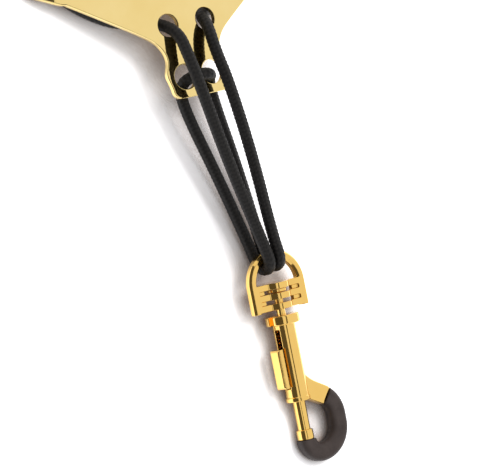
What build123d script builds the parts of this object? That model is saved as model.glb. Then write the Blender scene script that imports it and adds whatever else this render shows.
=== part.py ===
"""Saxophone neck strap, lying flat with its front side up.

A polished yoke plate is laced with one braided cord.  The cord's two bights carry a swivel
eye with a bolt snap, and its two ends are riveted into a padded leather neck band.
Millimetres.  +X runs across the plate, +Y from the hook towards the neck, +Z up off the table.
"""
from math import cos, pi, radians, sin, tan
import os

from build123d import *

# ---- yoke plate -------------------------------------------------------------------------
EDGE_Y = -70.0            # lower edge of the plate; all other Y values are counted from it
PLATE_THICK = 2.0
PLATE_TOP = 12.5          # top face at the centre line
ARCH_RADIUS = 157.0       # top face, arched about Y, so that the wing tips meet the table
TAB_HALF = 11.2           # half width of the tab at its lower edge
WING_END = (47.5, 49.5)   # centre of the round wing end
WING_END_RADIUS = 8.0
TOP_EDGE_Y = 40.0         # upper edge at the centre line
UPPER_HOLE = (7.55, 24.7)
UPPER_HOLE_DIAMETER = 7.6
LOWER_HOLE = (5.5, 7.0)
LOWER_HOLE_DIAMETER = 8.2
TIP_HOLE = (42.5, 45.9)
TIP_HOLE_DIAMETER = 7.6

# ---- cord ---------------------------------------------------------------------------------
CORD_DIAMETER = 4.0
ARC_SHARE = 0.45          # share of the shorter run that an arc takes up
BIGHT_SPACING = 8.0       # between the cord's centre lines above and below the bail
BIGHT_RADIUS = 3.98       # centre line of the cord round the bail

# ---- bolt snap, in its own frame: origin at the collar's centre, hook towards -Y ------------
SNAP_ORIGIN = (14.5, -78.7, 5.9)
SNAP_DIP = 3.67           # degrees that the hook end lies lower than the eye
COLLAR_DIAMETER = 11.7
COLLAR_THICK = 3.2
BARREL_DIAMETER = 7.7
BARREL_END = -27.9
BARREL_RING_DIAMETER = 8.3
BARREL_RING_THICK = 1.6
BOLT_DIAMETER = 4.3
BORE_CLEARANCE = 0.08
BORE_TOP = -3.2
BOLT_TOP = -19.4
BOLT_TIP = -38.9
SLOT_WIDTH = 2.2
SLOT_TURN = 11.0          # degrees that the slot and knob are turned up from the side
SLOT_END = -23.3
KNOB_TOP = -9.5
KNOB_OUTER = 7.2          # outer face of the thumb knob from the axis
KNOB_THICK = 2.1
KNOB_WIDTH = 4.6
FOOT_LENGTH = 3.2
SPRING_DIAMETER = 3.9
SPRING_WIRE = 0.5
SPRING_TURNS = 12
CUP_DIAMETER = 5.7
CUP_TOP = -37.6
CUP_END = -41.05
CUP_DEPTH = 1.9

# ---- hook arm and rubber sleeve -------------------------------------------------------------
ARM_END = (10.7, -28.4)   # middle of the line where the rubber begins
ARM_HEADING = -38.2       # degrees, direction of the arm there
ARM_THICK = 4.4
HOOK_BEND_RADIUS = 8.4
HOOK_STRAIGHT = 2.6
HOOK_OUTER_RADIUS = 8.7
HOOK_INNER_RADIUS = 5.2
SLEEVE_WIDTH = 6.4
SLEEVE_THICK = 5.4
SLEEVE_ROUND = 2.0
SLEEVE_WALL = 1.1

# ---- swivel eye, in the snap's frame ---------------------------------------------------------
BAIL_HALF = 9.9          # middle of each leg from the axis, and the arch's radius
BAIL_WIDTH = 3.0
BAIL_THICK = 3.5
BAIL_CHAMFER = 0.8
BAIL_FOOT = 3.3
BAIL_CREST = 22.1         # middle of the bar at the top of the arch
RIB_HEIGHT = 2.1
RIB_GAP = 1.35
RIB_COUNT = 3
BLOCK_FOOT = 3.7
BLOCK_THICK = 8.8         # round middle of a rib
WEB_THICK = 3.4           # between the round middle and a leg
WEB_FILLET = 1.4
RIB_GROOVE = 0.8            # depth of the groove that runs on from each gap across the web
GROOVE_HALF = 8.2
SLOT_HALF = 5.7           # half length of the gap between two ribs
STUD_DIAMETER = 3.0
STUD_BORE_CLEARANCE = 0.06
STUD_HEAD_DIAMETER = 6.6
STUD_HEAD_THICK = 1.0

# ---- leather neck band -----------------------------------------------------------------------
BAND_END_Y = 84.0
BAND_END_X = 47.0
BAND_END_HALF = 8.0
BAND_FAR_Y = 267.75
LINING_THICK = 1.2
FOAM_THICK = 4.1
LEATHER_THICK = 1.3
BAND_SEAM = 5.0           # flat sewn margin outside the foam
FOAM_START_Y = 108.0
RIVET_SHANK = 2.6
RIVET_HEAD_DIAMETER = 5.2
RIVET_HEAD_THICK = 1.0
RIVET_OFFSET = 5.0        # each side of the cord's end
RIVET_Y = 93.0
BURR_DIAMETER = 4.6
BURR_THICK = 0.6

CORD_RADIUS = CORD_DIAMETER / 2
TAIL_Z = LINING_THICK + FOAM_THICK / 2
PLATE_FRAME = Location((0, EDGE_Y, 0))
SNAP_FRAME = PLATE_FRAME * Location(SNAP_ORIGIN, (SNAP_DIP, 0, 0))


def save(name, shape, frame=PLATE_FRAME):
    """Place a sub-part in the strap's frame and write it as its own STEP file."""
    shape = shape.moved(frame)
    shape.label = name
    export_step(shape, f"parts/{name}.step")
    return shape


def rounded(solid, edges, radius):
    """Round the edges where the kernel can, and keep the solid as it is where it can't."""
    try:
        return solid.fillet(radius, edges)
    except (ValueError, RuntimeError) as fault:
        print("not rounded:", fault)
        return solid


# ---- yoke plate -------------------------------------------------------------------------------
def plate_outline():
    """Right half of the plate's outline, mirrored into a closed face."""
    end_x, end_y = WING_END
    lower = (end_x + WING_END_RADIUS * cos(radians(-62)), end_y + WING_END_RADIUS * sin(radians(-62)))
    outer = (end_x + WING_END_RADIUS, end_y)
    upper = (end_x + WING_END_RADIUS * cos(radians(115)), end_y + WING_END_RADIUS * sin(radians(115)))
    foot = Line((0, 0), (TAB_HALF - 3, 0))
    corner = RadiusArc((TAB_HALF - 3, 0), (TAB_HALF, 3), -3)
    side = Spline(
        (TAB_HALF, 3), (12.2, 8.8), (11.0, 12.6), (12.6, 18.2), (17.7, 22.6),
        (31.5, 31.4), (42.0, 38.2), lower,
        tangents=((0.08, 1), (cos(radians(28)), sin(radians(28)))),
    )
    tip = ThreePointArc(lower, outer, upper)
    top = Spline(upper, (24, 45.2), (0, TOP_EDGE_Y),
                 tangents=((-cos(radians(25)), -sin(radians(25))), (-1, 0)))
    right = Wire([foot, corner, side, tip, top])
    closed = Wire([*right.edges(), *right.mirror(Plane.YZ).edges()])
    return Face(closed)


def yoke_plate():
    blank = extrude(plate_outline(), PLATE_TOP + 5, dir=(0, 0, 1))
    blank = blank.moved(Location((0, 0, -2)))
    axis = Location((0, 60, PLATE_TOP - ARCH_RADIUS), (90, 0, 0))
    shell = Cylinder(ARCH_RADIUS, 400).moved(axis) - Cylinder(ARCH_RADIUS - PLATE_THICK, 400).moved(axis)
    plate = (blank & shell).solids().sort_by(Axis.Z)[-1]
    holes = ((UPPER_HOLE, UPPER_HOLE_DIAMETER), (LOWER_HOLE, LOWER_HOLE_DIAMETER),
             (TIP_HOLE, TIP_HOLE_DIAMETER))
    for (x, y), diameter in holes:
        for side in (-1, 1):
            plate -= Cylinder(diameter / 2, 60).moved(Location((side * x, y, 0)))
    return plate.solids()[0]


# ---- cord ---------------------------------------------------------------------------------------
def bight(offset, turn):
    """Four points of a turn round the bail: in above the bar, round it, and out below it."""
    along = BAIL_CREST - BAIL_HALF + (BAIL_HALF ** 2 - offset ** 2) ** 0.5
    dip = radians(SNAP_DIP)
    centre = Vector(SNAP_ORIGIN) + Vector(offset, along * cos(dip), along * sin(dip))
    back = Vector(-sin(radians(turn)), cos(radians(turn)), 0)
    up = Vector(0, 0, BIGHT_SPACING / 2)
    entry = centre + back * 6.5
    far = centre - back * BIGHT_SPACING / 2
    return [tuple(entry + up * 1.08), tuple(far + up), tuple(far - up), tuple(entry - up * 0.96)]


# The right wing's stretch mirrors the left one's.
NECK_ROUTE = [
    (47.0, 101.0, TAIL_Z),
    (47.0, 67.0, TAIL_Z),
    (44.6, 57.6, 9.4),
    (42.8, 48.8, 9.5),
    (42.2, 43.3, 2.15),
    (33.0, 35.2, 2.15),
    (21.5, 28.6, 3.6),
]


def mirrored(points):
    return [(-x, y, z) for x, y, z in points]


CORD_ROUTE = [
    *mirrored(NECK_ROUTE),
    (-9.4, 27.0, 7.2),
    (-6.4, 22.1, 15.2),
    (-6.2, 13.3, 17.8),
    (-5.7, 3.2, 19.6),
    (1.0, -24.0, 15.7),
    *bight(-3.6, 12),
    (2.1, -27.0, 5.7),
    (-6.0, -3.0, 7.7),
    (-5.8, 4.8, 8.0),
    (-3.2, 6.9, 14.9),
    (3.2, 6.3, 14.9),
    (6.0, 4.8, 8.0),
    (6.6, -4.0, 7.6),
    (10.6, -25.0, 5.9),
    *reversed(bight(0.85, 8)),
    (10.8, -23.0, 16.0),
    (6.0, 2.5, 19.4),
    (5.1, 13.5, 17.4),
    (6.1, 22.2, 15.0),
    (8.6, 27.4, 7.6),
    *reversed(NECK_ROUTE),
]
BIGHT_CORNERS = (13, 14, 25, 26)

# The cord is cut at the middle of some runs of its route, so that each span is a node.
CORD_SPANS = (
    ("left_cord_tail", 0),
    ("left_neck_cord", 2),
    ("left_wing_cord", 10),
    ("front_left_strand", 12),
    ("left_cord_bight", 14),
    ("back_left_strand", 16),
    ("bridge_cord", 22),
    ("back_right_strand", 24),
    ("right_cord_bight", 26),
    ("front_right_strand", 28),
    ("right_wing_cord", 36),
    ("right_neck_cord", 38),
    ("right_cord_tail", None),
)


def corner_radius(index):
    """Arc at a corner of the route, as large as its two runs allow."""
    if index in BIGHT_CORNERS:
        return BIGHT_RADIUS
    before, here, after = (Vector(CORD_ROUTE[i]) for i in (index - 1, index, index + 1))
    turn = (here - before).get_angle(after - here)
    return ARC_SHARE * min((here - before).length, (after - here).length) / tan(radians(turn / 2))


def run_middle(run):
    return (Vector(CORD_ROUTE[run]) + Vector(CORD_ROUTE[run + 1])) / 2


def cord_span(first_cut, last_cut):
    """Cord between two cuts; a cut of None is the cord's own end."""
    first_corner = 1 if first_cut is None else first_cut + 1
    last_corner = len(CORD_ROUTE) - 2 if last_cut is None else last_cut
    corners = range(first_corner, last_corner + 1)
    start = Vector(CORD_ROUTE[0]) if first_cut is None else run_middle(first_cut)
    end = Vector(CORD_ROUTE[-1]) if last_cut is None else run_middle(last_cut)
    radii = [corner_radius(i) for i in corners]
    if radii:
        path = FilletPolyline(start, *(CORD_ROUTE[i] for i in corners), end, radius=radii)
    else:
        path = Line(start, end)
    tube = sweep(Plane(path @ 0, z_dir=path % 0) * Circle(CORD_RADIUS), path=path)
    section = pi * CORD_RADIUS ** 2
    print(f"  radii {[round(r, 1) for r in radii]}, length {path.length:.1f},"
          f" volume / section / length {tube.volume / section / path.length:.4f}")
    return tube


# ---- bolt snap ------------------------------------------------------------------------------------
def along_y(radius, start, end, x=0.0, z=0.0):
    """Cylinder along Y between two heights."""
    middle = Location((x, (start + end) / 2, z), (90, 0, 0))
    return Cylinder(radius, abs(end - start)).moved(middle)


def block(x, y, z):
    """Box between the given low and high values."""
    size = [high - low for low, high in (x, y, z)]
    centre = [(high + low) / 2 for low, high in (x, y, z)]
    return Box(*size).moved(Location(centre))


def hook_path():
    """Centre line of the J from the end of the arm to the tip."""
    heading = (cos(radians(ARM_HEADING)), sin(radians(ARM_HEADING)))
    bend = JernArc(ARM_END, heading, HOOK_BEND_RADIUS, -(90 + ARM_HEADING))
    straight = Line(bend @ 1, (bend @ 1) + (bend % 1) * HOOK_STRAIGHT)
    outer = JernArc(straight @ 1, (0, -1), HOOK_OUTER_RADIUS, -90)
    inner = JernArc(outer @ 1, (-1, 0), HOOK_INNER_RADIUS, -90)
    return Wire([bend, straight, outer, inner])


def hook_sweep(width, thick, corner):
    path = hook_path()
    section = Plane(path @ 0, x_dir=(0, 0, 1), z_dir=path % 0) * RectangleRounded(thick, width, corner)
    return sweep(section, path=path)


def hook_arm():
    """Flat gold arm that leaves the barrel and widens into the J."""
    across = Vector(sin(radians(-ARM_HEADING)), cos(radians(ARM_HEADING))) * SLEEVE_WIDTH / 2
    outer_end = Vector(*ARM_END) + across
    inner_end = Vector(*ARM_END) - across
    upper = Spline((1.5, -15.0), (4.4, -20.4), outer_end, tangents=((0.35, -1), (0.80, -0.60)))
    outline = Wire([
        upper,
        Line(outer_end, inner_end),
        Line(inner_end, (3.2, -28.0)),
        Line((3.2, -28.0), (1.5, -26.0)),
        Line((1.5, -26.0), (1.5, -15.0)),
    ])
    arm = extrude(Face(outline), ARM_THICK / 2, both=True)
    long_edges = arm.edges().filter_by(lambda edge: edge.center().X > 4 and abs(edge.center().Z) > 1)
    return rounded(arm, long_edges, 0.9)


def turned_up(shape):
    """The shape turned about the snap's axis, so that what lies at -X comes up towards +Z."""
    return shape.rotate(Axis.Y, SLOT_TURN)


def snap_body():
    bore = BOLT_DIAMETER / 2 + BORE_CLEARANCE
    collar = along_y(COLLAR_DIAMETER / 2, -COLLAR_THICK / 2, COLLAR_THICK / 2)
    collar = rounded(collar, collar.edges().filter_by(GeomType.CIRCLE), 0.5)
    barrel = along_y(BARREL_DIAMETER / 2, BARREL_END, 0)
    ring = along_y(BARREL_RING_DIAMETER / 2, BARREL_END, BARREL_END + BARREL_RING_THICK)
    ring = rounded(ring, ring.edges().filter_by(GeomType.CIRCLE), 0.35)
    core = hook_sweep(SLEEVE_WIDTH - 2 * SLEEVE_WALL, SLEEVE_THICK - 2 * SLEEVE_WALL, SLEEVE_ROUND - SLEEVE_WALL)
    body = collar + barrel + ring + hook_arm() + core
    body -= along_y(bore, BARREL_END - 3.0, BORE_TOP)
    body -= along_y(STUD_DIAMETER / 2, -2.0, COLLAR_THICK)
    body -= turned_up(block((-COLLAR_DIAMETER, -1.0), (SLOT_END, BORE_TOP), (-SLOT_WIDTH / 2, SLOT_WIDTH / 2)))
    body -= turned_up(block((-COLLAR_DIAMETER, -STUD_DIAMETER / 2 - 1.6), (BORE_TOP - 0.5, COLLAR_THICK),
                            (-SLOT_WIDTH / 2, SLOT_WIDTH / 2)))
    return body


def rubber_sleeve():
    """Rubber over the J; the metal core fills it, and its outer wall is closed at the tip."""
    skin = hook_sweep(SLEEVE_WIDTH, SLEEVE_THICK, SLEEVE_ROUND)
    core = hook_sweep(SLEEVE_WIDTH - 2 * SLEEVE_WALL, SLEEVE_THICK - 2 * SLEEVE_WALL, SLEEVE_ROUND - SLEEVE_WALL)
    return skin - core - hook_arm()


def hook_tip_cup():
    cup = along_y(CUP_DIAMETER / 2, CUP_END, CUP_TOP)
    cup = rounded(cup, cup.edges().filter_by(GeomType.CIRCLE), 0.4)
    return cup - along_y(BOLT_DIAMETER / 2 + 0.1, CUP_TOP - CUP_DEPTH, CUP_TOP + 1)


def bolt():
    pin = along_y(BOLT_DIAMETER / 2, BOLT_TIP, BOLT_TOP)
    tip_edge = pin.edges().filter_by(GeomType.CIRCLE).sort_by(Axis.Y)[0]
    pin = rounded(pin, [tip_edge], 0.6)
    return pin - foot_socket()


def foot_socket():
    """Cross hole in the bolt that takes the thumb knob's foot."""
    return turned_up(block((-BOLT_DIAMETER, 0.4), (BOLT_TOP - FOOT_LENGTH - 0.2, BOLT_TOP - 0.6),
                           (-SLOT_WIDTH / 2 + 0.2, SLOT_WIDTH / 2 - 0.2)))


def thumb_knob():
    low = BOLT_TOP - FOOT_LENGTH
    slab = block((-KNOB_OUTER, -KNOB_OUTER + KNOB_THICK), (low - 0.2, KNOB_TOP), (-KNOB_WIDTH / 2, KNOB_WIDTH / 2))
    outer_edges = slab.edges().filter_by(lambda edge: edge.center().X < -KNOB_OUTER + 0.1)
    slab = slab.chamfer(0.7, None, outer_edges)
    foot = block((-KNOB_OUTER + 1.0, 0.3), (low - 0.1, BOLT_TOP - 0.7),
                 (-SLOT_WIDTH / 2 + 0.3, SLOT_WIDTH / 2 - 0.3))
    return turned_up(slab + foot)


def bolt_spring():
    """Compression spring in the bore between the bolt and the collar."""
    length = BORE_TOP - BOLT_TOP - 2 * SPRING_WIRE
    helix = Helix(pitch=length / SPRING_TURNS, height=length, radius=(SPRING_DIAMETER - SPRING_WIRE) / 2)
    section = Plane(helix @ 0, z_dir=helix % 0) * Circle(SPRING_WIRE / 2)
    spring = sweep(section, path=helix, is_frenet=True)
    return spring.moved(Location((0, BORE_TOP - SPRING_WIRE, 0), (90, 0, 0)))


# ---- swivel eye -------------------------------------------------------------------------------------
def bail():
    crest_centre = BAIL_CREST - BAIL_HALF
    left = Line((-BAIL_HALF, BAIL_FOOT), (-BAIL_HALF, crest_centre))
    arch = ThreePointArc((-BAIL_HALF, crest_centre), (0, BAIL_CREST), (BAIL_HALF, crest_centre))
    right = Line((BAIL_HALF, crest_centre), (BAIL_HALF, BAIL_FOOT))
    path = Wire([left, arch, right])
    outline = chamfer(Rectangle(BAIL_THICK, BAIL_WIDTH).vertices(), BAIL_CHAMFER)
    return sweep(Plane(path @ 0, x_dir=(0, 0, 1), z_dir=path % 0) * outline, path=path)


def rib_face():
    """Section of the block along the snap's axis: a round middle that runs out into flat webs."""
    reach = BAIL_HALF - BAIL_WIDTH / 2 + 0.6
    section = Circle(BLOCK_THICK / 2) + Rectangle(2 * reach, WEB_THICK)
    notches = section.vertices().filter_by(lambda corner: abs(corner.X) < reach - 0.5)
    return fillet(notches, WEB_FILLET).face()


def swivel_eye():
    height = RIB_COUNT * RIB_HEIGHT + (RIB_COUNT - 1) * RIB_GAP
    face = Plane((0, BLOCK_FOOT, 0), x_dir=(1, 0, 0), z_dir=(0, 1, 0)) * rib_face()
    eye = extrude(face, height, dir=(0, 1, 0))
    for rib in range(RIB_COUNT - 1):
        low = BLOCK_FOOT + RIB_HEIGHT + rib * (RIB_HEIGHT + RIB_GAP)
        eye -= block((-SLOT_HALF, SLOT_HALF), (low, low + RIB_GAP), (-BLOCK_THICK, BLOCK_THICK))
        for side in (-1, 1):
            groove = sorted((side * (WEB_THICK / 2 - RIB_GROOVE), side * BLOCK_THICK))
            eye -= block((-GROOVE_HALF, GROOVE_HALF), (low, low + RIB_GAP), groove)
    shaft_top = BLOCK_FOOT + 2 * RIB_HEIGHT + RIB_GAP
    eye -= along_y(STUD_DIAMETER / 2 + STUD_BORE_CLEARANCE, BLOCK_FOOT - 1, shaft_top + 0.2)
    return eye + bail()


def swivel_stud():
    """Headed pin: pressed into the collar, free to turn in the block, its head in the upper gap."""
    head_low = BLOCK_FOOT + 2 * RIB_HEIGHT + RIB_GAP + (RIB_GAP - STUD_HEAD_THICK) / 2
    shaft = along_y(STUD_DIAMETER / 2, -2.0, head_low + 0.1)
    head = along_y(STUD_HEAD_DIAMETER / 2, head_low, head_low + STUD_HEAD_THICK)
    return shaft + head


# ---- leather neck band ---------------------------------------------------------------------------------
def band_face(inset, start_y):
    """Crescent of the band, drawn in by the inset, that begins at the given height."""
    outer_half = BAND_END_HALF - inset
    outer = Spline((BAND_END_X + outer_half, BAND_END_Y), (67 - inset, 128), (86.5 - inset, 190),
                   (62 - inset * 0.8, 247 - inset * 0.6), (0, BAND_FAR_Y - inset),
                   tangents=((0.12, 1), (-1, 0)))
    inner = Spline((0, 224 + inset), (35 + inset * 0.7, 210 + inset * 0.7), (50 + inset, 180), (46 + inset, 128),
                   (BAND_END_X - outer_half, BAND_END_Y), tangents=((1, 0), (-0.12, -1)))
    end = Line(inner @ 1, outer @ 0)
    right = [end, outer, inner]
    left = [edge.mirror(Plane.YZ) for edge in right]
    face = Face(Wire([*right, *left]))
    if start_y > BAND_END_Y:
        face -= Pos(0, start_y - 100) * Rectangle(400, 200)
    return face


def rivet_places():
    return [(side * (BAND_END_X + shift), RIVET_Y) for side in (-1, 1) for shift in (-RIVET_OFFSET, RIVET_OFFSET)]


def upright(radius, low, high, x, y):
    return Cylinder(radius, high - low).moved(Location((x, y, (low + high) / 2)))


def band_foam():
    return extrude(band_face(BAND_SEAM, FOAM_START_Y), FOAM_THICK).moved(Location((0, 0, LINING_THICK)))


def band_leather():
    """Outer leather, wrapped over the foam and down to the lining at the sewn edge."""
    leather = extrude(band_face(0, 0), FOAM_THICK + LEATHER_THICK).moved(Location((0, 0, LINING_THICK)))
    leather -= band_foam()
    top = LINING_THICK + FOAM_THICK + LEATHER_THICK
    for side in (-1, 1):
        leather -= along_y(CORD_RADIUS + 0.03, BAND_END_Y - 5, NECK_ROUTE[0][1] + 0.1, side * BAND_END_X, TAIL_Z)
    for x, y in rivet_places():
        leather -= upright(RIVET_SHANK / 2, 0, top + 1, x, y)
    return leather


def band_lining():
    lining = extrude(band_face(0, 0), LINING_THICK)
    for x, y in rivet_places():
        lining -= upright(RIVET_SHANK / 2, -1, LINING_THICK + 1, x, y)
        lining -= upright(BURR_DIAMETER / 2, -1, BURR_THICK, x, y)
    return lining


def band_rivets():
    top = LINING_THICK + FOAM_THICK + LEATHER_THICK
    rivets = []
    for x, y in rivet_places():
        head = upright(RIVET_HEAD_DIAMETER / 2, top, top + RIVET_HEAD_THICK, x, y)
        head = rounded(head, [head.edges().sort_by(Axis.Z)[-1]], 0.6)
        rivets.append(head + upright(RIVET_SHANK / 2, 0.1, top + 0.1, x, y))
    return Compound(rivets)


def rivet_burrs():
    burrs = []
    for x, y in rivet_places():
        ring = upright(BURR_DIAMETER / 2, 0, BURR_THICK, x, y)
        burrs.append(ring - upright(RIVET_SHANK / 2, -1, BURR_THICK + 1, x, y))
    return Compound(burrs)


# ---- write every node --------------------------------------------------------------------------------
os.makedirs("parts", exist_ok=True)
save("yoke_plate", yoke_plate())

span_start = None
for name, span_end in CORD_SPANS:
    print(name)
    save(name, cord_span(span_start, span_end))
    span_start = span_end

for make in (snap_body, rubber_sleeve, hook_tip_cup, bolt, thumb_knob, bolt_spring, swivel_eye, swivel_stud):
    save(make.__name__, make(), SNAP_FRAME)

for make in (band_leather, band_foam, band_lining, band_rivets, rivet_burrs):
    save(make.__name__, make())
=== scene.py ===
"""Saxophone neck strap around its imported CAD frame: cords, leather, rubber and polished metal.

Metres, in the frame of the CAD model: +X across the yoke plate, +Y towards the neck, +Z up.
"""
import math

import bmesh
import bpy
from mathutils import Matrix, Vector, noise
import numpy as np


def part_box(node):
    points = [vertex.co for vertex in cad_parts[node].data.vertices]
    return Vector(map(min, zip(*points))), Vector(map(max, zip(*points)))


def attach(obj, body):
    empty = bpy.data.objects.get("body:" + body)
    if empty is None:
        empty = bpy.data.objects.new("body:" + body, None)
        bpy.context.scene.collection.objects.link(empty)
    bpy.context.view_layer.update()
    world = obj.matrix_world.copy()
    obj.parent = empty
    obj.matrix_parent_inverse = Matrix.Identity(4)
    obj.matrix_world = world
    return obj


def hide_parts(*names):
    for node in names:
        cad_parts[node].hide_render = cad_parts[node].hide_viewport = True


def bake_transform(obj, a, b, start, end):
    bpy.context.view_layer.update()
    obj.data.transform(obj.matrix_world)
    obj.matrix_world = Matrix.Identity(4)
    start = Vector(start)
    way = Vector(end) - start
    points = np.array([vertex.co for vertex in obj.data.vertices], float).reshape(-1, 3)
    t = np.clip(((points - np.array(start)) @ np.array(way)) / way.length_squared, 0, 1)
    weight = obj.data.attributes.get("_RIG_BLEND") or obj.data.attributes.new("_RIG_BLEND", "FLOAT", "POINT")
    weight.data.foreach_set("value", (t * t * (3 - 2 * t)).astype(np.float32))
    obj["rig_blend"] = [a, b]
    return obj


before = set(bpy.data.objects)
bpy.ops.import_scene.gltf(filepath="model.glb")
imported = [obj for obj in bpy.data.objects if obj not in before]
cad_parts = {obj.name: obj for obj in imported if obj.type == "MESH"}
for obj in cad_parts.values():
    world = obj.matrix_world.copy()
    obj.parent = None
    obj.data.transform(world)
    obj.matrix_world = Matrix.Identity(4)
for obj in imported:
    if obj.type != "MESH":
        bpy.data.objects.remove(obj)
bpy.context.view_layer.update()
scene = bpy.context.scene
scene.view_settings.view_transform = "Standard"
MM = 0.001
EDGE_Y = -0.070           # lower edge of the yoke plate
CORD_DIAMETER = 0.004


# ---- helpers --------------------------------------------------------------------------------
def link(name, mesh):
    obj = bpy.data.objects.new(name, mesh)
    scene.collection.objects.link(obj)
    return obj


def mesh_object(name, vertices, faces, smooth=True):
    mesh = bpy.data.meshes.new(name)
    mesh.from_pydata(vertices, [], faces)
    mesh.validate()
    obj = link(name, mesh)
    mesh.polygons.foreach_set("use_smooth", [smooth] * len(mesh.polygons))
    return obj


def smoothstep(value):
    value = min(max(value, 0.0), 1.0)
    return value * value * (3 - 2 * value)


# ---- materials --------------------------------------------------------------------------------
class Material:
    """A node material with its Principled shader and short ways to add nodes."""

    def __init__(self, name, **sockets):
        self.material = bpy.data.materials.new(name)
        self.material.use_nodes = True
        self.nodes = self.material.node_tree.nodes
        self.links = self.material.node_tree.links
        self.shader = self.nodes["Principled BSDF"]
        for socket, value in sockets.items():
            self.shader.inputs[socket.replace("_", " ")].default_value = value

    def node(self, kind, inputs=None, **settings):
        made = self.nodes.new(kind)
        for key, value in settings.items():
            setattr(made, key, value)
        for key, value in (inputs or {}).items():
            if hasattr(value, "links"):
                self.links.new(value, made.inputs[key])
            else:
                made.inputs[key].default_value = value
        return made

    def coordinates(self):
        return self.node("ShaderNodeTexCoord").outputs["Object"]

    def noise(self, scale, detail=4.0, roughness=0.5):
        made = self.node("ShaderNodeTexNoise", {"Vector": self.coordinates(), "Scale": scale,
                                                "Detail": detail, "Roughness": roughness})
        return made.outputs["Fac"]

    def ramp(self, factor, *stops):
        made = self.node("ShaderNodeValToRGB", {"Fac": factor})
        elements = made.color_ramp.elements
        while len(elements) < len(stops):
            elements.new(0.5)
        for element, (position, colour) in zip(elements, stops):
            element.position = position
            element.color = (*colour, 1.0)
        return made.outputs["Color"]

    def map_range(self, value, low, high, to_low, to_high):
        made = self.node("ShaderNodeMapRange", {"Value": value, "From Min": low, "From Max": high,
                                                "To Min": to_low, "To Max": to_high})
        return made.outputs["Result"]

    def bump(self, height, distance, below=None):
        made = self.node("ShaderNodeBump", {"Height": height, "Distance": distance, "Strength": 1.0})
        if below is not None:
            self.links.new(below, made.inputs["Normal"])
        return made.outputs["Normal"]

    def feed(self, socket, output):
        self.links.new(output, self.shader.inputs[socket])


def background_ray(nodes, links):
    """1 for rays that show the background: to the camera, in reflections and through glass."""
    path = nodes.new("ShaderNodeLightPath")
    total = path.outputs["Is Camera Ray"]
    for ray in ("Is Glossy Ray", "Is Transmission Ray"):
        both = nodes.new("ShaderNodeMath")
        both.operation = "MAXIMUM"
        links.new(total, both.inputs[0])
        links.new(path.outputs[ray], both.inputs[1])
        total = both.outputs[0]
    return total


def gold(name, colour, deep, roughness, wave):
    """Gold plating: its colour drifts a little, with fine polishing marks and faint waves."""
    made = Material(name, Metallic=1.0)
    drift = made.noise(90.0, 3.0)
    made.feed("Base Color", made.ramp(drift, (0.30, deep), (0.70, colour)))
    marks = made.noise(2600.0, 3.0, 0.6)
    made.feed("Roughness", made.map_range(marks, 0.3, 0.7, roughness * 0.7, roughness * 1.3))
    waves = made.noise(420.0, 2.0)
    made.feed("Normal", made.bump(waves, wave))
    return made.material


def braid_material():
    """Black polyester braid: fibres run along each strand, with painted shade that darkens the crossings."""
    made = Material("black_cord_braid", Roughness=0.58, Sheen_Weight=0.05, Sheen_Roughness=0.5)
    made.shader.inputs["Specular IOR Level"].default_value = 0.30
    height = made.node("ShaderNodeAttribute", attribute_name="braid").outputs["Fac"]
    fibres = made.noise(9000.0, 3.0, 0.7)
    # painted shade: the base colour is about ten times darker in the braid's crossings than on the strands'
    # crowns
    painted_crossing_shade = made.ramp(height, (0.30, (0.0012, 0.0011, 0.0011)), (0.90, (0.0125, 0.0112, 0.0105)))
    speck = made.ramp(fibres, (0.42, (0.75, 0.74, 0.73)), (0.72, (1.5, 1.48, 1.45)))
    mixed = made.node("ShaderNodeMix", {"Factor": 1.0}, data_type="RGBA", blend_type="MULTIPLY")
    made.links.new(painted_crossing_shade, mixed.inputs[6])
    made.links.new(speck, mixed.inputs[7])
    made.feed("Base Color", mixed.outputs[2])
    made.feed("Normal", made.bump(fibres, 0.00006))
    return made.material


def rubber_material():
    """Dipped rubber: warm black, matte, with faint mottling and a soft skin."""
    made = Material("black_rubber_dip", Roughness=0.55)
    made.shader.inputs["Specular IOR Level"].default_value = 0.35
    cloud = made.noise(160.0, 3.0)
    made.feed("Base Color", made.ramp(cloud, (0.3, (0.030, 0.0215, 0.0195)), (0.75, (0.056, 0.042, 0.038))))
    grain = made.noise(2400.0, 2.0)
    made.feed("Roughness", made.map_range(grain, 0.3, 0.7, 0.46, 0.66))
    made.feed("Normal", made.bump(grain, 0.00003))
    return made.material


def leather_material(name, low, high, grain_scale, grain_depth, roughness):
    """Leather: cell-like grain over a slow drift of colour, rougher in the grain's creases."""
    made = Material(name)
    made.shader.inputs["Specular IOR Level"].default_value = 0.42
    place = made.coordinates()
    cells = made.node("ShaderNodeTexVoronoi", {"Vector": place, "Scale": grain_scale},
                      feature="DISTANCE_TO_EDGE")
    pebble = made.map_range(cells.outputs["Distance"], 0.0, 0.25, 0.0, 1.0)
    cloud = made.noise(45.0, 5.0, 0.6)
    made.feed("Base Color", made.ramp(cloud, (0.3, low), (0.75, high)))
    made.feed("Roughness", made.map_range(pebble, 0.0, 1.0, roughness + 0.18, roughness))
    coarse = made.bump(cloud, 0.0005)
    made.feed("Normal", made.bump(pebble, grain_depth, coarse))
    return made.material


def thread_material():
    made = Material("waxed_thread", Roughness=0.45)
    twist = made.noise(3000.0, 2.0)
    made.feed("Base Color", made.ramp(twist, (0.3, (0.055, 0.050, 0.046)), (0.7, (0.13, 0.12, 0.11))))
    return made.material


def steel_material():
    """Spring wire, dark brown with oil."""
    made = Material("spring_wire", Metallic=1.0)
    oil = made.noise(800.0)
    made.feed("Base Color", made.ramp(oil, (0.3, (0.050, 0.034, 0.020)), (0.7, (0.09, 0.062, 0.038))))
    made.feed("Roughness", made.map_range(made.noise(3000.0), 0.3, 0.7, 0.40, 0.55))
    return made.material


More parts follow.
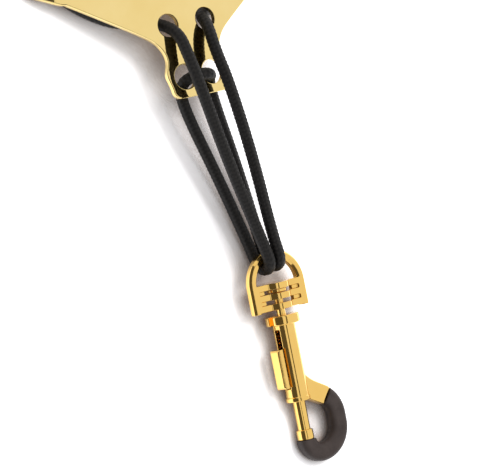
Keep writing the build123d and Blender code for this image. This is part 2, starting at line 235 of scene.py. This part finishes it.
PLATE_GOLD = gold("mirror_gold", (0.88, 0.69, 0.30), (0.85, 0.65, 0.26), 0.035, 0.000004)
CAST_GOLD = gold("cast_gold", (0.88, 0.585, 0.175), (0.85, 0.54, 0.145), 0.09, 0.00001)
BRAID = braid_material()
RUBBER = rubber_material()
LEATHER = leather_material("grained_leather", (0.012, 0.011, 0.0105), (0.026, 0.024, 0.0225),
                           900.0, 0.00012, 0.42)
SUEDE = leather_material("suede_lining", (0.020, 0.017, 0.015), (0.040, 0.034, 0.030),
                         2600.0, 0.00006, 0.80)
THREAD = thread_material()
STEEL = steel_material()


def dress(obj, material):
    obj.data.materials.clear()
    obj.data.materials.append(material)


# ---- camera, floor and light --------------------------------------------------------------------
VIEW_RIGHT = Vector((0.797, -0.230, 0.559))
VIEW_BACK = Vector((-0.574, 0.0, 0.819))
VIEW_TARGET = Vector((0.0096, EDGE_Y - 0.0483, 0.006))
VIEW_WIDTH = 0.1667
LENS = 300.0
SENSOR = 36.0
FLOOR_HALF = 3.0
FLOOR_LIFT = 0.95          # makes the table read white to the camera and in reflections
PAINTED_SHADE_REACH = 0.032      # painted shade and painted shadow reach this far from the object: the table's colour darkens to brown and its lift fades
WORLD_STRENGTH = 0.62
KEY_OFFSET = Vector((0.50, 0.42, 1.15))
KEY_SIZE = 0.60
KEY_POWER = 12.5


def make_camera():
    """Looks down at the lying strap from its left, rolled so that the hook hangs to the right."""
    data = bpy.data.cameras.new("camera")
    data.lens = LENS
    data.sensor_width = SENSOR
    camera = link("camera", data)
    back = VIEW_BACK.normalized()
    right = (VIEW_RIGHT - back * VIEW_RIGHT.dot(back)).normalized()
    up = back.cross(right)
    turn = Matrix((right, up, back)).transposed().to_4x4()
    camera.matrix_world = Matrix.Translation(VIEW_TARGET + back * VIEW_WIDTH * LENS / SENSOR) @ turn
    scene.camera = camera


def make_floor():
    """White table, bright to the camera, with painted shade: darker and warmer where the object closes it
    in.
    """
    corners = [(x * FLOOR_HALF, y * FLOOR_HALF, 0) for x, y in ((-1, -1), (1, -1), (1, 1), (-1, 1))]
    floor = mesh_object("floor", corners, [(0, 1, 2, 3)], smooth=False)
    made = Material("white_table", Roughness=1.0)
    made.shader.inputs["Specular IOR Level"].default_value = 0.0
    near = made.node("ShaderNodeAmbientOcclusion", {"Distance": PAINTED_SHADE_REACH}, samples=6)
    # painted shade: the table's base colour turns dark brown where ambient occlusion is low
    shade = made.ramp(near.outputs["AO"], (0.35, (0.26, 0.17, 0.11)), (0.68, (0.91, 0.90, 0.91)))
    made.feed("Base Color", shade)
    # painted shadow: the white lift seen by the camera fades with the square of the ambient occlusion
    painted_shadow_fade = made.node("ShaderNodeMath", {0: near.outputs["AO"], 1: 2.0}, operation="POWER")
    seen = made.node("ShaderNodeMath", {0: background_ray(made.nodes, made.links), 1: painted_shadow_fade.outputs[0]},
                     operation="MULTIPLY")
    lift = made.map_range(seen.outputs[0], 0, 1, 0, FLOOR_LIFT)
    made.shader.inputs["Emission Color"].default_value = (0.97, 0.97, 1, 1)
    made.feed("Emission Strength", lift)
    floor.data.materials.append(made.material)


def make_world():
    """Even white studio, seen at full white in reflections and a little lower as light."""
    world = bpy.data.worlds.new("studio")
    world.use_nodes = True
    nodes, links = world.node_tree.nodes, world.node_tree.links
    strength = nodes.new("ShaderNodeMapRange")
    strength.inputs["To Min"].default_value = WORLD_STRENGTH
    strength.inputs["To Max"].default_value = 1.0
    links.new(background_ray(nodes, links), strength.inputs["Value"])
    links.new(strength.outputs["Result"], nodes["Background"].inputs["Strength"])
    nodes["Background"].inputs["Color"].default_value = (1.0, 0.99, 0.98, 1)
    scene.world = world


def make_key_light():
    """Soft lamp from the upper right; the polished plate doesn't mirror it."""
    data = bpy.data.lights.new("key", "AREA")
    data.size = KEY_SIZE
    data.energy = KEY_POWER
    lamp = link("key", data)
    lamp.location = VIEW_TARGET + KEY_OFFSET
    lamp.rotation_mode = "QUATERNION"
    lamp.rotation_quaternion = (VIEW_TARGET - lamp.location).to_track_quat("-Z", "Y")
    lamp.visible_glossy = False


def reflected_card(name, centre, across, along, shade):
    """Studio card that only reflections see, for the dark bands in polished metal."""
    centre, across, along = Vector(centre), Vector(across) / 2, Vector(along) / 2
    corners = [centre + x * across + y * along for x, y in ((-1, -1), (1, -1), (1, 1), (-1, 1))]
    card = mesh_object(name, corners, [(0, 1, 2, 3)], smooth=False)
    made = Material(name, Roughness=1.0)
    made.shader.inputs["Base Color"].default_value = (0, 0, 0, 1)
    made.shader.inputs["Specular IOR Level"].default_value = 0.0
    made.shader.inputs["Emission Color"].default_value = (*shade, 1)
    made.shader.inputs["Emission Strength"].default_value = 1.0
    card.data.materials.append(made.material)
    for ray in ("camera", "diffuse", "shadow", "transmission", "volume_scatter"):
        setattr(card, "visible_" + ray, False)


make_camera()
make_floor()
make_world()
make_key_light()
reflected_card("card_left", (-0.60, -0.05, 0.50), (0.0, 0.0, 0.9), (0.0, 2.4, 0.0), (0.11, 0.10, 0.085))
reflected_card("card_over", (-0.11, -0.05, 0.80), (0.13, 0.0, 0.0), (0.0, 2.4, 0.0), (0.10, 0.09, 0.08))


# ---- cord ------------------------------------------------------------------------------------------
# The route repeats the CAD model's, in millimetres with Y from the plate's lower edge.
SNAP_ORIGIN = Vector((14.5, -78.7, 5.9))
SNAP_DIP = math.radians(3.67)
BAIL_CREST = 22.1
BAIL_HALF = 9.9
BIGHT_SPACING = 8.0
BIGHT_ENTRY = 6.5          # the bight's first and last points, this far back from its middle
TAIL_Z = 3.25
NECK_ROUTE = [
    (47.0, 101.0, TAIL_Z),
    (47.0, 67.0, TAIL_Z),
    (44.6, 57.6, 9.4),
    (42.8, 48.8, 9.5),
    (42.2, 43.3, 2.15),
    (33.0, 35.2, 2.15),
    (21.5, 28.6, 3.6),
]


def mirrored(points):
    return [(-x, y, z) for x, y, z in points]


def bight(offset, turn):
    """Four points of a turn round the bail: in above the bar, round it, and out below it."""
    along = BAIL_CREST - BAIL_HALF + (BAIL_HALF ** 2 - offset ** 2) ** 0.5
    centre = SNAP_ORIGIN + Vector((offset, along * math.cos(SNAP_DIP), along * math.sin(SNAP_DIP)))
    back = Vector((-math.sin(math.radians(turn)), math.cos(math.radians(turn)), 0))
    up = Vector((0, 0, BIGHT_SPACING / 2))
    entry = centre + back * BIGHT_ENTRY
    far = centre - back * BIGHT_SPACING / 2
    return [entry + up * 1.08, far + up, far - up, entry - up * 0.96]


CORD_ROUTE = [
    *mirrored(NECK_ROUTE),
    (-9.4, 27.0, 7.2),
    (-6.4, 22.1, 15.2),
    (-6.2, 13.3, 17.8),
    (-5.7, 3.2, 19.6),
    (1.0, -24.0, 15.7),
    *bight(-3.6, 12),
    (2.1, -27.0, 5.7),
    (-6.0, -3.0, 7.7),
    (-5.8, 4.8, 8.0),
    (-3.2, 6.9, 14.9),
    (3.2, 6.3, 14.9),
    (6.0, 4.8, 8.0),
    (6.6, -4.0, 7.6),
    (10.6, -25.0, 5.9),
    *reversed(bight(0.85, 8)),
    (10.8, -23.0, 16.0),
    (6.0, 2.5, 19.4),
    (5.1, 13.5, 17.4),
    (6.1, 22.2, 15.0),
    (8.6, 27.4, 7.6),
    *reversed(NECK_ROUTE),
]
PLY = 8                    # strands that run each way round the braid
BRAID_PITCH = 0.0115       # length of one turn of a strand
BRAID_DEPTH = 0.00024
BRAID_MEAN = 0.8           # braid height that lies at the cord's own radius
RING_STEP = 0.00030
RING_POINTS = 44
LINE_RESOLUTION = 24


def place(point):
    """Point of the route in the frame, in metres."""
    x, y, z = point
    return Vector((x * MM, EDGE_Y + y * MM, z * MM))


def route_line(name, points):
    """Dense points along the route's smooth NURBS line."""
    curve = bpy.data.curves.new(name, "CURVE")
    curve.dimensions = "3D"
    curve.resolution_u = LINE_RESOLUTION
    spline = curve.splines.new("NURBS")
    spline.points.add(len(points) - 1)
    for target, point in zip(spline.points, points):
        target.co = (*point, 1.0)
    spline.order_u = 3
    spline.use_endpoint_u = True
    obj = link(name, curve)
    mesh = bpy.data.meshes.new_from_object(obj)
    line = [vertex.co.copy() for vertex in mesh.vertices]
    bpy.data.objects.remove(obj)
    return line


def evenly(line, step):
    """The line's points at equal distances."""
    lengths = [0.0]
    for here, there in zip(line, line[1:]):
        lengths.append(lengths[-1] + (there - here).length)
    count = round(lengths[-1] / step)
    even, index = [], 0
    for number in range(count + 1):
        wanted = lengths[-1] * number / count
        while index < len(line) - 2 and lengths[index + 1] < wanted:
            index += 1
        span = max(lengths[index + 1] - lengths[index], 1e-9)
        even.append(line[index].lerp(line[index + 1], (wanted - lengths[index]) / span))
    return even


def braid_height(turn, along):
    """0 in a crossing and 1 on the crown of a strand, for strands that pass over and under."""
    best = 0.0
    for hand in (-1, 1):
        phase = PLY * (turn + hand * along)
        strand = math.sin(math.pi * (phase % 1.0))
        other = PLY * (turn - hand * along)
        over = math.sin(math.pi * (other + (0.5 if hand > 0 else 0.0) + math.floor(phase) % 2))
        best = max(best, math.sqrt(strand) * (0.62 + 0.38 * over))
    return best


def braided_tube(name, line, offset):
    """Braided cord along the line; offset is the braid's length before it, so that pieces match."""
    points = evenly(line, RING_STEP)
    step = (points[1] - points[0]).length
    last = len(points) - 1
    tangents = [(points[min(i + 1, last)] - points[max(i - 1, 0)]).normalized()
                for i in range(len(points))]
    side = tangents[0].cross(Vector((0, 0, 1))).normalized()
    vertices, heights = [], []
    for ring, (centre, tangent) in enumerate(zip(points, tangents)):
        side = (side - tangent * side.dot(tangent)).normalized()
        other = tangent.cross(side)
        along = (offset + ring * step) / BRAID_PITCH
        for spoke in range(RING_POINTS):
            turn = spoke / RING_POINTS
            height = braid_height(turn, along)
            radius = CORD_DIAMETER / 2 - BRAID_DEPTH * (BRAID_MEAN - height)
            angle = math.tau * turn
            vertices.append(centre + (side * math.cos(angle) + other * math.sin(angle)) * radius)
            heights.append(height)
    faces = []
    for ring in range(len(points) - 1):
        for spoke in range(RING_POINTS):
            near, far = ring * RING_POINTS, (ring + 1) * RING_POINTS
            after = (spoke + 1) % RING_POINTS
            faces.append((near + spoke, near + after, far + after, far + spoke))
    faces.append(tuple(reversed(range(RING_POINTS))))
    faces.append(tuple(range((len(points) - 1) * RING_POINTS, len(points) * RING_POINTS)))
    obj = mesh_object(name, vertices, faces)
    attribute = obj.data.attributes.new("braid", "FLOAT", "POINT")
    attribute.data.foreach_set("value", heights)
    dress(obj, BRAID)
    return obj, points


def line_length(line):
    return sum((there - here).length for here, there in zip(line, line[1:]))


def make_cords():
    """One cord in three pieces: each neck side follows the band, the lacing follows the loop."""
    whole = route_line("cord_route", [place(point) for point in CORD_ROUTE])
    over_wing = place(NECK_ROUTE[3]).y
    left_end = next(i for i, point in enumerate(whole) if point.y < over_wing)
    right_end = len(whole) - 1 - next(i for i, point in enumerate(reversed(whole)) if point.y < over_wing)
    cuts = (("left_neck_side", 0, left_end),
            ("lacing", left_end, right_end),
            ("right_neck_side", right_end, len(whole) - 1))
    before = 0.0
    for name, first, last in cuts:
        line = whole[first:last + 1]
        cord, path = braided_tube(name, line, before)
        length = line_length(line)
        before += length
        if name == "lacing":
            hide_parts("left_wing_cord", "front_left_strand", "left_cord_bight", "back_left_strand",
                        "bridge_cord", "back_right_strand", "right_cord_bight", "front_right_strand",
                        "right_wing_cord")
            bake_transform(cord, "yoke", "cord_loop", (0, EDGE_Y - 0.003, 0), (0.010, EDGE_Y - 0.050, 0))
        else:
            side = name.split("_")[0]
            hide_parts(side + "_neck_cord", side + "_cord_tail")
            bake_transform(cord, "yoke", "neck_band", (0, EDGE_Y + 0.059, 0), (0, EDGE_Y + 0.083, 0))


make_cords()


# ---- yoke plate ----------------------------------------------------------------------------------
PLATE_THICK = 0.002
ARCH_RADIUS = 0.157
PLATE_EDGE = 0.00045         # rounding of the plate's edges
PLATE_STEP = 0.0012          # width of the strips the arch is bent from
CURL_REACH = 0.003           # the longest stretch of outline that is taken for a curl
CURL_SHORTCUT = 0.7          # its ends are nearer to each other than this share of its length
FACES_UP = 0.5               # least Z of the normal of a face that faces up


def outline_loops(node):
    """Closed outlines, as lists of points, of the faces of a CAD node that face up."""
    mesh = bmesh.new()
    mesh.from_mesh(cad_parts[node].data)
    bmesh.ops.remove_doubles(mesh, verts=mesh.verts, dist=1e-6)
    mesh.normal_update()
    follows = {}
    for face in mesh.faces:
        if face.normal.z < FACES_UP:
            continue
        for loop in face.loops:
            others = [other for other in loop.edge.link_faces if other is not face]
            if all(other.normal.z < FACES_UP for other in others):
                follows[loop.vert.index] = loop.link_loop_next.vert.index
    places = {vertex.index: vertex.co.copy() for vertex in mesh.verts}
    mesh.free()
    loops = []
    while follows:
        start = here = min(follows)
        loop = []
        while here in follows:
            loop.append(places[here])
            here = follows.pop(here)
        if here == start:
            loops.append(without_curls(loop))
    return loops


def without_curls(loop):
    """The outline less the tiny curls where two CAD curves meet; a slight corner stays there."""
    kept = list(loop)
    i = 0
    while i < len(kept) - 1:
        walked = 0
        last = i + 1
        for j in range(i + 1, len(kept)):
            walked += (kept[j] - kept[j - 1]).length
            if walked > CURL_REACH:
                break
            if (kept[j] - kept[i]).length < CURL_SHORTCUT * walked:
                last = j
        del kept[i + 1:last]
        i += 1
    return kept


def arch(x):
    """Height of the bent plate's top."""
    return cad_plate_top - ARCH_RADIUS + math.sqrt(ARCH_RADIUS ** 2 - x * x)


def arch_slope(x):
    return -x / math.sqrt(ARCH_RADIUS ** 2 - x * x)


def edge_profile(thickness, edge, steps=5):
    """(inset, height, slant) from the flat top, round both edges, to the flat bottom."""
    upper = []
    for step in range(steps + 1):
        slant = math.pi / 2 * step / steps
        upper.append((edge * (1 - math.sin(slant)), thickness / 2 - edge * (1 - math.cos(slant)), slant))
    return upper + [(inset, -height, math.pi - slant) for inset, height, slant in reversed(upper)]


def make_plate():
    """Polished plate with rounded edges, bent along the arch; its normals are bent with it."""
    mesh = bmesh.new()
    mesh.verts.layers.float.new("slant")
    mesh.verts.layers.float_vector.new("outward")
    slants = mesh.verts.layers.float["slant"]
    outwards = mesh.verts.layers.float_vector["outward"]
    profile = edge_profile(PLATE_THICK, PLATE_EDGE)
    caps = ([], [])
    for loop in outline_loops("yoke_plate"):
        count = len(loop)
        rings = []
        for inset, height, slant in profile:
            ring = []
            for i, point in enumerate(loop):
                run = loop[(i + 1) % count] - loop[i - 1]
                out = Vector((run.y, -run.x, 0)).normalized()
                vertex = mesh.verts.new((point.x - out.x * inset, point.y - out.y * inset, height))
                vertex[slants] = slant
                vertex[outwards] = out
                ring.append(vertex)
            rings.append(ring)
        for upper, lower in zip(rings, rings[1:]):
            for i in range(count):
                after = (i + 1) % count
                mesh.faces.new((upper[i], lower[i], lower[after], upper[after]))
        for cap, ring in zip(caps, (rings[0], rings[-1])):
            cap.extend(mesh.edges.get((ring[i], ring[(i + 1) % count])) for i in range(count))
    for cap, facing in zip(caps, (1, -1)):
        bmesh.ops.triangle_fill(mesh, edges=cap, use_beauty=True, normal=(0, 0, facing))
    low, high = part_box("yoke_plate")
    for step in range(1, int((high[0] - low[0]) / PLATE_STEP)):
        everything = list(mesh.verts) + list(mesh.edges) + list(mesh.faces)
        bmesh.ops.bisect_plane(mesh, geom=everything, dist=1e-7, plane_co=(low[0] + step * PLATE_STEP, 0, 0),
                               plane_no=(1, 0, 0))
    bmesh.ops.recalc_face_normals(mesh, faces=mesh.faces)
    bent = {}
    for vertex in mesh.verts:
        slant = vertex[slants]
        if abs(vertex.co.z) > PLATE_THICK / 2 - 1e-7:
            slant = 0 if vertex.co.z > 0 else math.pi
        out = vertex[outwards] * math.sin(slant)
        up = math.cos(slant)
        bent[vertex] = Vector((out.x - arch_slope(vertex.co.x) * up, out.y, up)).normalized()
        vertex.co.z += arch(vertex.co.x) - PLATE_THICK / 2
    normals = [bent[loop.vert] for face in mesh.faces for loop in face.loops]
    polished = bpy.data.meshes.new("yoke_plate_polished")
    mesh.to_mesh(polished)
    mesh.free()
    polished.polygons.foreach_set("use_smooth", [True] * len(polished.polygons))
    polished.normals_split_custom_set(normals)
    plate = link("yoke_plate_polished", polished)
    dress(plate, PLATE_GOLD)
    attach(plate, "yoke")
    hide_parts("yoke_plate")


cad_plate_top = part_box("yoke_plate")[1][2]
make_plate()


# ---- metal and rubber castings -------------------------------------------------------------------
def softened(node, body, voxel, passes, material):
    """Copy of a CAD node's shape with the rounded edges of a polished casting."""
    obj = link(node + "_finished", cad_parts[node].data.copy())
    remesh = obj.modifiers.new("remesh", "REMESH")
    remesh.mode = "VOXEL"
    remesh.voxel_size = voxel
    smooth = obj.modifiers.new("smooth", "SMOOTH")
    smooth.factor = 0.5
    smooth.iterations = passes
    graph = bpy.context.evaluated_depsgraph_get()
    mesh = bpy.data.meshes.new_from_object(obj.evaluated_get(graph))
    obj.modifiers.clear()
    obj.data = mesh
    obj.data.polygons.foreach_set("use_smooth", [True] * len(obj.data.polygons))
    dress(obj, material)
    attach(obj, body)
    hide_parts(node)


for node, body, voxel, passes in (("swivel_eye", "eye", 0.00011, 8),
                                  ("snap_body", "snap", 0.00011, 8),
                                  ("hook_tip_cup", "snap", 0.00009, 8),
                                  ("swivel_stud", "snap", 0.00009, 6),
                                  ("bolt", "bolt_and_knob", 0.00010, 8),
                                  ("thumb_knob", "bolt_and_knob", 0.00010, 8)):
    softened(node, body, voxel, passes, CAST_GOLD)
softened("rubber_sleeve", "snap", 0.00018, 14, RUBBER)


# ---- spring ----------------------------------------------------------------------------------------
SNAP_AXIS = Vector((0, math.cos(SNAP_DIP), math.sin(SNAP_DIP)))
SNAP_CENTRE = Vector((SNAP_ORIGIN.x * MM, EDGE_Y + SNAP_ORIGIN.y * MM, SNAP_ORIGIN.z * MM))
SPRING_TOP = -0.0037
SPRING_FOOT = -0.0189
SPRING_RADIUS = 0.0017
SPRING_WIRE = 0.00025        # radius of the wire
SPRING_TURNS = 12
WIRE_POINTS = 8
TURN_STEPS = 28


def make_spring():
    """Compression spring in the barrel, pressed together as the bolt slides up."""
    side = Vector((1, 0, 0))
    other = SNAP_AXIS.cross(side)
    steps = SPRING_TURNS * TURN_STEPS
    vertices, faces = [], []
    for ring in range(steps + 1):
        share = ring / steps
        angle = math.tau * SPRING_TURNS * share
        out = side * math.cos(angle) + other * math.sin(angle)
        height = SPRING_TOP + (SPRING_FOOT - SPRING_TOP) * share
        centre = SNAP_CENTRE + SNAP_AXIS * height + out * SPRING_RADIUS
        for spoke in range(WIRE_POINTS):
            turn = math.tau * spoke / WIRE_POINTS
            vertices.append(centre + (out * math.cos(turn) + SNAP_AXIS * math.sin(turn)) * SPRING_WIRE)
    for ring in range(steps):
        near, far = ring * WIRE_POINTS, (ring + 1) * WIRE_POINTS
        for spoke in range(WIRE_POINTS):
            after = (spoke + 1) % WIRE_POINTS
            faces.append((near + spoke, near + after, far + after, far + spoke))
    faces.append(tuple(reversed(range(WIRE_POINTS))))
    faces.append(tuple(range(steps * WIRE_POINTS, (steps + 1) * WIRE_POINTS)))
    spring = mesh_object("bolt_spring_coils", vertices, faces)
    dress(spring, STEEL)
    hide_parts("bolt_spring")
    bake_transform(spring, "snap", "bolt_and_knob", SNAP_CENTRE + SNAP_AXIS * SPRING_TOP,
             SNAP_CENTRE + SNAP_AXIS * SPRING_FOOT)


make_spring()


# ---- neck band -------------------------------------------------------------------------------------
BAND_END_Y = EDGE_Y + 0.084
TAB_END_Y = BAND_END_Y + 0.018      # flat riveted tabs up to here, then the padding begins
PAD_START_Y = BAND_END_Y + 0.034
LINING_TOP = 0.0012
LEATHER_TOP = 0.0066
SEAM_TOP = 0.0029
SEAM_WIDTH = 0.0046
STATIONS = 420
ACROSS = 44
STITCH_INSET = 0.0027
STITCH_LENGTH = 0.0026
STITCH_SPACING = 0.0034
STITCH_RADIUS = 0.00036
STITCH_RINGS = 8
STITCH_SPOKES = 8
TAB_STITCHES = 4
TAB_SPACING = 0.0033
TAB_CENTRE_X = 0.047
RIVETS = [(side * (TAB_CENTRE_X + shift), EDGE_Y + 0.093)
          for side in (-1, 1) for shift in (-0.005, 0.005)]


def band_sides():
    """Points along the band's outer and inner edge, both from the left end to the right end."""
    loop = max(outline_loops("band_lining"), key=len)
    corners = [i for i, point in enumerate(loop) if point.y < BAND_END_Y + 1e-5]
    left = sorted((i for i in corners if loop[i].x < 0), key=lambda i: loop[i].x)
    right = sorted((i for i in corners if loop[i].x > 0), key=lambda i: loop[i].x)

    def walk(start, stop):
        count = len(loop)
        ahead = [loop[(start + i) % count] for i in range((stop - start) % count + 1)]
        back = [loop[(start - i) % count] for i in range((start - stop) % count + 1)]
        return ahead, back

    outer = max(walk(left[0], right[-1]), key=line_length)
    inner = min(walk(left[-1], right[0]), key=line_length)
    return outer, inner


def resampled(line, count):
    total = line_length(line)
    return evenly(line, total / (count - 1))


def rivet_dimple(x, y, reach):
    """1 at a rivet, falling to 0 at the given distance."""
    nearest = min(math.hypot(x - rx, y - ry) for rx, ry in RIVETS)
    return 1 - smoothstep((nearest - 0.0024) / reach)


def pad_height(x, y, inward, width):
    """Height of the leather's top, from the distance to the band's edge and the band's width."""
    tab = LEATHER_TOP - 0.0007 * (1 - smoothstep(inward / 0.0010)) - 0.0003 * rivet_dimple(x, y, 0.0022)
    crown = max(inward - SEAM_WIDTH, 0) / max(width / 2 - SEAM_WIDTH, 1e-6)
    bulge = (1 - (1 - min(crown, 1.0)) ** 2.4) ** 0.62
    puff = noise.noise(Vector((x, y, 0)) * 55) * 0.00035 + noise.noise(Vector((x, y, 3)) * 240) * 0.00008
    pad = SEAM_TOP + (LEATHER_TOP - 0.0006 - SEAM_TOP + puff) * bulge
    groove = math.exp(-((inward - STITCH_INSET) / 0.0006) ** 2) * 0.00035
    edge = 0.0006 * (1 - smoothstep(inward / 0.0008))
    padded = smoothstep((y - TAB_END_Y) / (PAD_START_Y - TAB_END_Y))
    return tab + (pad - groove - edge - tab) * padded


def lining_height(x, y, inward):
    """Height of the lining's underside, drawn up round each rivet's burr."""
    weave = 0.00006 * (1 + noise.noise(Vector((x, y, 7)) * 300))
    return weave + 0.00042 * rivet_dimple(x, y, 0.0020) + 0.0004 * (1 - smoothstep(inward / 0.0009))


def band_shell(name, top, bottom, material):
    """Closed sheet across the band between two height functions of (x, y, inward, width)."""
    vertices, faces = [], []
    shares = [0.5 - 0.5 * math.cos(math.pi * step / ACROSS) for step in range(ACROSS + 1)]
    for start, end in stations:
        width = (end - start).length
        for height in (top, bottom):
            for share in shares:
                point = start.lerp(end, share)
                inward = min(share, 1 - share) * width
                inward = min(inward, max(point.y - BAND_END_Y, 0))
                vertices.append((point.x, point.y, height(point.x, point.y, inward, width)))
    row = ACROSS + 1
    for station in range(len(stations) - 1):
        here, there = station * 2 * row, (station + 1) * 2 * row
        for step in range(ACROSS):
            faces.append((here + step, there + step, there + step + 1, here + step + 1))
            below, beyond = here + row + step, there + row + step
            faces.append((below, below + 1, beyond + 1, beyond))
        faces.append((here, here + row, there + row, there))
        faces.append((here + ACROSS, there + ACROSS, there + row + ACROSS, here + row + ACROSS))
    for here in (0, (len(stations) - 1) * 2 * row):
        for step in range(ACROSS):
            faces.append((here + step, here + step + 1, here + row + step + 1, here + row + step))
    band = mesh_object(name, vertices, faces)
    tidy = bmesh.new()
    tidy.from_mesh(band.data)
    bmesh.ops.recalc_face_normals(tidy, faces=tidy.faces)
    for edge in tidy.edges:
        edge.smooth = len(edge.link_faces) == 2 and edge.calc_face_angle() < math.radians(50)
    tidy.to_mesh(band.data)
    tidy.free()
    dress(band, material)
    return band


def stitch(vertices, faces, centre, along, up):
    """One capsule-shaped stitch that sinks into the leather at both ends."""
    side = along.cross(up).normalized()
    first = len(vertices)
    for ring in range(STITCH_RINGS + 1):
        share = ring / STITCH_RINGS
        swell = math.sin(math.pi * share) ** 0.6
        middle = centre + along * (share - 0.5) * STITCH_LENGTH + up * (swell - 0.75) * STITCH_RADIUS
        for spoke in range(STITCH_SPOKES):
            turn = math.tau * spoke / STITCH_SPOKES
            out = side * math.cos(turn) + up * math.sin(turn)
            vertices.append(middle + out * STITCH_RADIUS * (0.35 + 0.65 * swell))
    for ring in range(STITCH_RINGS):
        near, far = first + ring * STITCH_SPOKES, first + (ring + 1) * STITCH_SPOKES
        for spoke in range(STITCH_SPOKES):
            after = (spoke + 1) % STITCH_SPOKES
            faces.append((near + spoke, near + after, far + after, far + spoke))
    faces.append(tuple(first + spoke for spoke in reversed(range(STITCH_SPOKES))))
    faces.append(tuple(first + STITCH_RINGS * STITCH_SPOKES + spoke for spoke in range(STITCH_SPOKES)))


def make_stitching():
    """Two rows of stitches along the band's edges, and one across the end of each riveted tab."""
    vertices, faces = [], []
    rows = [[start + (end - start).normalized() * STITCH_INSET for start, end in stations],
            [end + (start - end).normalized() * STITCH_INSET for start, end in stations]]
    for row in rows:
        row = [point for point in row if point.y > TAB_END_Y]
        marks = evenly(row, STITCH_SPACING)
        for here, there in zip(marks, marks[1:]):
            middle = (here + there) / 2
            along = (there - here).normalized()
            middle.z = pad_height(middle.x, middle.y, STITCH_INSET, 0.03)
            stitch(vertices, faces, middle, along, Vector((0, 0, 1)))
    for side in (-1, 1):
        for step in range(TAB_STITCHES):
            shift = (step - (TAB_STITCHES - 1) / 2) * TAB_SPACING
            middle = Vector((side * (TAB_CENTRE_X + 0.0010) + shift, TAB_END_Y - 0.0026, 0))
            middle.z = pad_height(middle.x, middle.y, 0.008, 0.016)
            stitch(vertices, faces, middle, Vector((1, 0, 0)), Vector((0, 0, 1)))
    thread = mesh_object("band_stitching", vertices, faces)
    dress(thread, THREAD)
    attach(thread, "neck_band")


stations = list(zip(*(resampled(edge, STATIONS) for edge in band_sides())))
leather = band_shell("band_cover", pad_height, lambda x, y, inward, width: LINING_TOP,
                     LEATHER)
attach(leather, "neck_band")
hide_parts("band_leather", "band_foam")
lining = band_shell("band_suede", lambda x, y, inward, width: LINING_TOP,
                    lambda x, y, inward, width: lining_height(x, y, inward), SUEDE)
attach(lining, "neck_band")
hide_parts("band_lining")
make_stitching()

for rivet in ("band_rivets", "rivet_burrs"):
    dress(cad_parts[rivet], CAST_GOLD)
